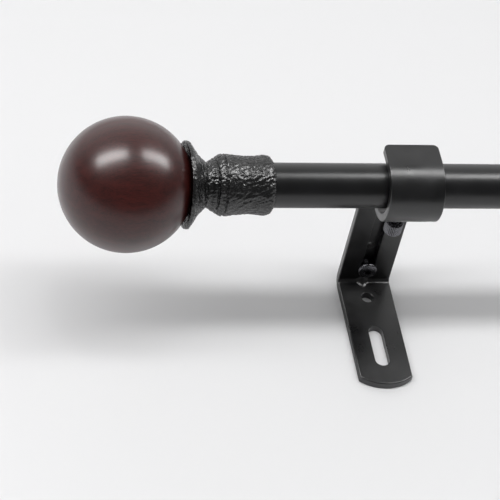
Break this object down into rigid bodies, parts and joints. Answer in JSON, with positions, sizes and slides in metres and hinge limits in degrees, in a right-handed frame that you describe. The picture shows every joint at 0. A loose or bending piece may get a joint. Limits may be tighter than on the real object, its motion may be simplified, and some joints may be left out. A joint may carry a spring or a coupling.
{
  "type": "curtain rod with brackets",
  "caption": "Telescoping curtain rod with lacquered wooden ball finials, textured cast collars and screw-on wall brackets with open cups and adjustable projection.",
  "frame": {"origin": "middle of the bottom of the object's box, on the wall's plane, which is the back of both wall plates", "axes": "+X along the rod, from the outer tube's finial to the inner tube's; +Z away from the wall, into the room, so the object stands on its wall plates; +Y is up once the brackets are screwed to a wall"},
  "size_m": [0.8278, 0.0588, 0.0946],
  "materials": {
    "tube": "satin black powder coat",
    "bracket": "semi-gloss black enamel on steel strip",
    "cast_collar": "coarse textured casting, glossy black",
    "ball_wood": "dark mahogany stain under satin lacquer",
    "black_screw": "black oxide",
    "plain_steel": "zinc plated",
    "brass": "turned",
    "black_plastic": "moulded nylon, fine matt",
    "nylon": "moulded nylon, natural"
  },
  "bodies": {
    "outer_rod": {"outer_tube": "tube", "mouth_bush": "black_plastic"},
    "inner_rod": {"inner_tube": "tube", "tail_bush": "nylon", "end_adapter": "black_plastic"},
    "left_finial": {"left_finial_ball": "ball_wood", "left_finial_insert": "brass", "left_finial_collar": "cast_collar", "left_finial_screw": "plain_steel"},
    "left_hook": {"left_hook": "bracket"},
    "left_wall_bracket": {"left_wall_bracket": "bracket"},
    "left_thumb_screw": {"left_thumb_screw": "black_screw"},
    "left_clamp_screw": {"left_clamp_screw": "black_screw"},
    "right_finial": {"right_finial_ball": "ball_wood", "right_finial_insert": "brass", "right_finial_collar": "cast_collar", "right_finial_screw": "plain_steel"},
    "right_hook": {"right_hook": "bracket"},
    "right_wall_bracket": {"right_wall_bracket": "bracket"},
    "right_thumb_screw": {"right_thumb_screw": "black_screw"},
    "right_clamp_screw": {"right_clamp_screw": "black_screw"}
  },
  "joints": [
    {"name": "telescope", "type": "slide", "parent": "outer_rod", "child": "inner_rod", "axis": [1, 0, 0], "range_m": [0, 0.564]},
    {"name": "left_finial_pull", "type": "slide", "parent": "outer_rod", "child": "left_finial", "axis": [-1, 0, 0], "range_m": [0, 0.017]},
    {"name": "left_bracket_slide", "type": "slide", "parent": "outer_rod", "child": "left_hook", "axis": [1, 0, 0], "range_m": [-0.038, 0.25]},
    {"name": "left_projection", "type": "slide", "parent": "left_hook", "child": "left_wall_bracket", "axis": [0, 0, -1], "range_m": [0, 0.0355]},
    {"name": "left_thumb_screw_travel", "type": "slide", "parent": "left_hook", "child": "left_thumb_screw", "axis": [0, 0, -1], "range_m": [0, 0.0035]},
    {"name": "left_clamp_screw_turn", "type": "hinge", "parent": "left_hook", "child": "left_clamp_screw", "pos_m": [-0.288, 0.02067, 0.00971], "axis": [0, -1, 0], "continuous": true},
    {"name": "right_finial_pull", "type": "slide", "parent": "inner_rod", "child": "right_finial", "axis": [1, 0, 0], "range_m": [0, 0.017]},
    {"name": "right_bracket_slide", "type": "slide", "parent": "inner_rod", "child": "right_hook", "axis": [1, 0, 0], "range_m": [-0.028, 0.038]},
    {"name": "right_projection", "type": "slide", "parent": "right_hook", "child": "right_wall_bracket", "axis": [0, 0, -1], "range_m": [0, 0.0355]},
    {"name": "right_thumb_screw_travel", "type": "slide", "parent": "right_hook", "child": "right_thumb_screw", "axis": [0, 0, -1], "range_m": [0, 0.0035]},
    {"name": "right_clamp_screw_turn", "type": "hinge", "parent": "right_hook", "child": "right_clamp_screw", "pos_m": [0.288, 0.02067, 0.00971], "axis": [0, -1, 0], "continuous": true}
  ]
}
